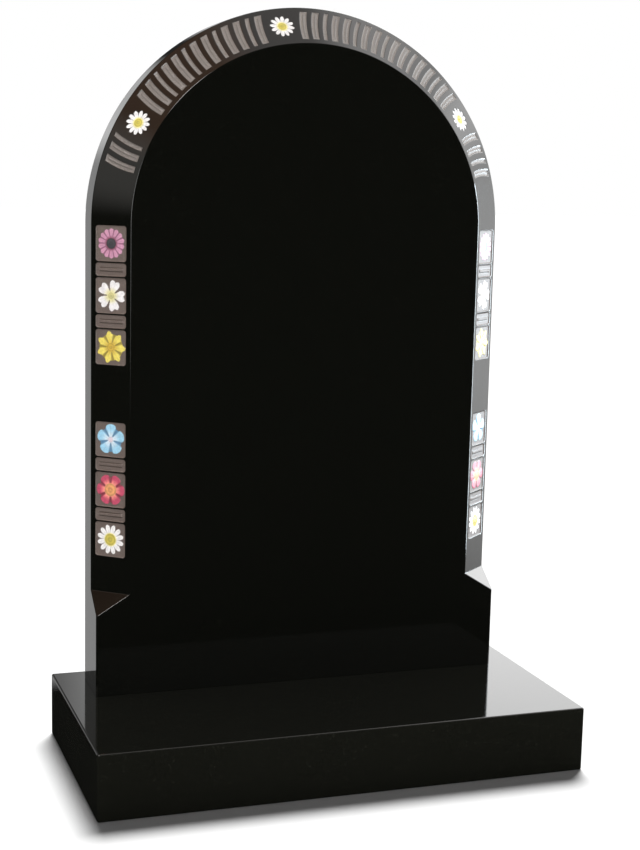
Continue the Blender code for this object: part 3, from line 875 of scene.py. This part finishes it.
def light_world(world):
    """White surroundings, dimmer as light, and for mirrored rays a dark room with soft boxes in it."""
    graph = Graph(world)
    facing = graph.add("ShaderNodeTexCoord").outputs["Generated"]
    total = None
    for direction, inner, outer, light in SOFT_BOXES:
        towards = Vector(direction).normalized()
        cosine = graph.add("ShaderNodeVectorMath", {0: facing, 1: towards}, operation="DOT_PRODUCT")
        edges = math.cos(math.radians(outer)), math.cos(math.radians(inner))
        lit = graph.ramp(cosine.outputs["Value"], *edges)
        sockets = {0: lit, 1: light, 2: total or AROUND}
        total = graph.add("ShaderNodeVectorMath", sockets, operation="MULTIPLY_ADD").outputs[0]
    path = graph.add("ShaderNodeLightPath").outputs
    strength = graph.ramp(path["Is Diffuse Ray"], 0.0, 1.0, 1.0, AMBIENT, False)
    even = graph.add("ShaderNodeBackground", {0: (1.0, 1.0, 1.0, 1.0), 1: strength}).outputs[0]
    boxes = graph.add("ShaderNodeBackground", {0: total, 1: 1.0}).outputs[0]
    mixed = graph.add("ShaderNodeMixShader", {0: path["Is Glossy Ray"], 1: even, 2: boxes}).outputs[0]
    graph.add("ShaderNodeOutputWorld", {0: mixed})
    world.cycles.sampling_method = "NONE"


def floor_material(tone):
    """Matt pale floor with a hint of unevenness."""
    material = bpy.data.materials.new("pale floor")
    graph = Graph(material)
    place = graph.add("ShaderNodeTexCoord").outputs["Object"]
    drift = graph.noise(place, FLOOR_SCALE, 2.0)
    tinted = graph.mix(graph.ramp(drift, 0.3, 0.7), scaled(tone, 0.995), tone)
    sockets = {"Base Color": tinted, "Roughness": 0.9, "Specular IOR Level": 0.0}
    shader = graph.add("ShaderNodeBsdfPrincipled", sockets)
    graph.add("ShaderNodeOutputMaterial", {0: shader.outputs[0]})
    return material


def flat_card(name, half_x, half_y, height, material):
    """A level rectangle about the origin."""
    mesh = bpy.data.meshes.new(name)
    corners = [(x * half_x, y * half_y, height) for x, y in ((-1, -1), (1, -1), (1, 1), (-1, 1))]
    mesh.from_pydata(corners, [], [(0, 1, 2, 3)])
    mesh.materials.append(material)
    card = bpy.data.objects.new(name, mesh)
    bpy.context.scene.collection.objects.link(card)
    return card


def shade_material():
    """Black that fades out in an S towards the card's rim, by the distance outside the base's footprint."""
    material = bpy.data.materials.new("shade card")
    graph = Graph(material)
    place = graph.add("ShaderNodeSeparateXYZ", {0: graph.add("ShaderNodeTexCoord").outputs["Object"]}).outputs
    squares = []
    for axis, half in enumerate((BASE_HIGH.x, BASE_HIGH.y)):
        over = graph.math("SUBTRACT", graph.math("ABSOLUTE", place[axis]), half)
        over = graph.math("MAXIMUM", over, 0.0)
        squares.append(graph.math("MULTIPLY", over, over))
    away = graph.math("SQRT", graph.math("ADD", *squares))
    clear = graph.ramp(away, SHADE_REACH - SHADE_FADE, SHADE_REACH)
    black = graph.add("ShaderNodeEmission", {0: (*SHADE_TONE, 1.0), 1: 1.0}).outputs[0]
    through = graph.add("ShaderNodeBsdfTransparent").outputs[0]
    faded = graph.add("ShaderNodeMixShader", {0: clear, 1: black, 2: through}).outputs[0]
    graph.add("ShaderNodeOutputMaterial", {0: faded})
    return material


def make_camera(studio):
    """Camera that looks forward (-sin yaw cos pitch, cos yaw cos pitch, -sin pitch), then rolls."""
    yaw, pitch, roll = studio.yaw, studio.pitch, studio.roll
    forward = Vector((-math.sin(yaw) * math.cos(pitch), math.cos(yaw) * math.cos(pitch), -math.sin(pitch)))
    right = Vector((math.cos(yaw), math.sin(yaw), 0.0))
    down = forward.cross(right)
    turned = right * math.cos(roll) + down * math.sin(roll)
    down = down * math.cos(roll) - right * math.sin(roll)
    data = bpy.data.cameras.new("camera")
    data.sensor_fit = "AUTO"
    data.sensor_width = SENSOR
    data.lens = studio.lens
    camera = bpy.data.objects.new("camera", data)
    axes = Matrix((turned, -down, -forward)).transposed().to_4x4()
    camera.matrix_world = Matrix.Translation(studio.camera) @ axes
    bpy.context.scene.collection.objects.link(camera)
    bpy.context.scene.camera = camera


def make_lamp(name, kind, energy, place, target=(0.0, 0.0, 0.0), mirrored=False):
    """Lamp turned from its place to a target, which the polish mirrors or not."""
    data = bpy.data.lights.new(name, kind)
    data.energy = energy
    lamp = bpy.data.objects.new(name, data)
    place = Vector(place)
    aim = (Vector(target) - place).to_track_quat("-Z", "Y").to_matrix().to_4x4()
    lamp.matrix_world = Matrix.Translation(place) @ aim
    lamp.visible_glossy = mirrored
    bpy.context.scene.collection.objects.link(lamp)
    return lamp


def link_light(linked, purpose, names):
    """Keeps a lamp's light, or its shadows, to the named objects."""
    group = bpy.data.collections.new(f"{linked.id_data.name} {purpose}s")
    for name in names:
        group.objects.link(bpy.data.objects[name])
    setattr(linked, f"{purpose}_collection", group)


def make_side_light(power):
    """Tall narrow soft box at the right, on the carved chamfer only."""
    lamp = make_lamp("side light", "AREA", power, SIDE_PLACE, SIDE_TARGET, mirrored=True)
    lamp.data.shape = "RECTANGLE"
    lamp.data.size, lamp.data.size_y = SIDE_WIDTH, SIDE_HEIGHT
    lamp.data.color = SIDE_COLOUR
    link_light(lamp.light_linking, "receiver", SKINS)


def make_key_light(strength):
    """Broad light from behind that only the floor takes and only the base shades."""
    lamp = make_lamp("key light", "SUN", strength, KEY_PLACE)
    lamp.data.angle = KEY_ANGLE
    link_light(lamp.light_linking, "receiver", ["floor"])
    link_light(lamp.light_linking, "blocker", ["polished_base"])


def make_fill_light(strength):
    """Very broad light in front and above, on the stone only."""
    lamp = make_lamp("fill light", "SUN", strength, FILL_PLACE)
    lamp.data.angle = FILL_ANGLE
    link_light(lamp.light_linking, "receiver", [*SKINS, "tablet_body", "polished_base"])


class HEADSTONE_OT_finishes(bpy.types.Operator):
    """Makes the two granites"""
    bl_idname = "headstone.finishes"
    bl_label = "Finishes"

    def execute(self, context):
        tablet_granite(context.scene.headstone_colours)
        base_granite(context.scene.headstone_colours)
        return {"FINISHED"}


class HEADSTONE_OT_tablet(bpy.types.Operator):
    """Builds the tablet's body"""
    bl_idname = "headstone.tablet"
    bl_label = "Tablet"

    def execute(self, context):
        chamfer = Chamfer(context.scene.headstone_tablet)
        side = chamfer.side_stations(context.scene.headstone_carving)
        arch = chamfer.arch_stations(context.scene.headstone_carving)
        along = np.concatenate((side, arch[1:-1], chamfer.whole - side[::-1]))
        make_body(chamfer, along, context.scene)
        return {"FINISHED"}


class HEADSTONE_OT_chamfer(bpy.types.Operator):
    """Builds the carved skins of the chamfer: left side, arch and right side"""
    bl_idname = "headstone.chamfer"
    bl_label = "Carved chamfer"

    def execute(self, context):
        scene = context.scene
        chamfer = Chamfer(scene.headstone_tablet)
        side = chamfer.side_stations(scene.headstone_carving)
        arch = chamfer.arch_stations(scene.headstone_carving)
        parts = ((side, lambda relief: relief.side(chamfer, False), False),
                 (arch, lambda relief: relief.over_arch(chamfer), True),
                 (chamfer.whole - side[::-1], lambda relief: relief.side(chamfer, True), False))
        for name, (along, carve, leaning) in zip(SKINS, parts):
            make_skin(name, chamfer, along, carve, leaning, scene)
        return {"FINISHED"}


class HEADSTONE_OT_base(bpy.types.Operator):
    """Builds the polished base"""
    bl_idname = "headstone.base"
    bl_label = "Base"

    def execute(self, context):
        make_base(context.scene.headstone_tablet.back_radius)
        return {"FINISHED"}


class HEADSTONE_OT_stage(bpy.types.Operator):
    """Sets up the floor, the light and the camera"""
    bl_idname = "headstone.stage"
    bl_label = "Stage"

    def execute(self, context):
        studio = context.scene.headstone_studio
        reach = studio.floor_radius
        floor = flat_card("floor", reach, reach, 0.0, floor_material(studio.floor))
        floor.visible_glossy = False
        half_x, half_y = BASE_HIGH.x + SHADE_REACH, BASE_HIGH.y + SHADE_REACH
        card = flat_card("shade_card", half_x, half_y, CARD_HEIGHT, shade_material())
        card.visible_camera = False
        card.visible_diffuse = False
        card.visible_shadow = False
        context.scene.world = bpy.data.worlds.new("studio")
        light_world(context.scene.world)
        make_side_light(studio.side_light)
        make_key_light(studio.key_light)
        make_fill_light(studio.fill_light)
        make_camera(studio)
        context.scene.view_settings.view_transform = "Standard"
        return {"FINISHED"}


class HEADSTONE_PT_sidebar(bpy.types.Panel):
    """Lists the headstone's steps and sizes"""
    bl_idname = "HEADSTONE_PT_sidebar"
    bl_label = "Headstone"
    bl_space_type = "VIEW_3D"
    bl_region_type = "UI"
    bl_category = "Headstone"

    def draw(self, context):
        for operator in OPERATORS:
            self.layout.operator(operator.bl_idname)
        for name, group in SETTINGS.items():
            box = self.layout.box()
            for key in group.__annotations__:
                box.prop(getattr(context.scene, name), key)


SETTINGS = {
    "headstone_tablet": HeadstoneTablet,
    "headstone_carving": HeadstoneCarving,
    "headstone_colours": HeadstoneColours,
    "headstone_studio": HeadstoneStudio,
}
OPERATORS = (HEADSTONE_OT_finishes, HEADSTONE_OT_tablet, HEADSTONE_OT_chamfer, HEADSTONE_OT_base,
             HEADSTONE_OT_stage)


def register():
    """Registers the classes and hangs the settings on the scene."""
    for kind in (*SETTINGS.values(), *OPERATORS, HEADSTONE_PT_sidebar):
        bpy.utils.register_class(kind)
    for name, group in SETTINGS.items():
        setattr(bpy.types.Scene, name, PointerProperty(type=group))


def unregister():
    """Takes the settings off the scene and the classes out again."""
    for name in SETTINGS:
        delattr(bpy.types.Scene, name)
    for kind in (HEADSTONE_PT_sidebar, *reversed(OPERATORS), *SETTINGS.values()):
        bpy.utils.unregister_class(kind)


def main():
    """Builds the pieces and the stage."""
    register()
    bpy.ops.headstone.finishes()
    bpy.ops.headstone.tablet()
    bpy.ops.headstone.chamfer()
    bpy.ops.headstone.base()
    bpy.ops.headstone.stage()


if __name__ == "__main__":
    main()
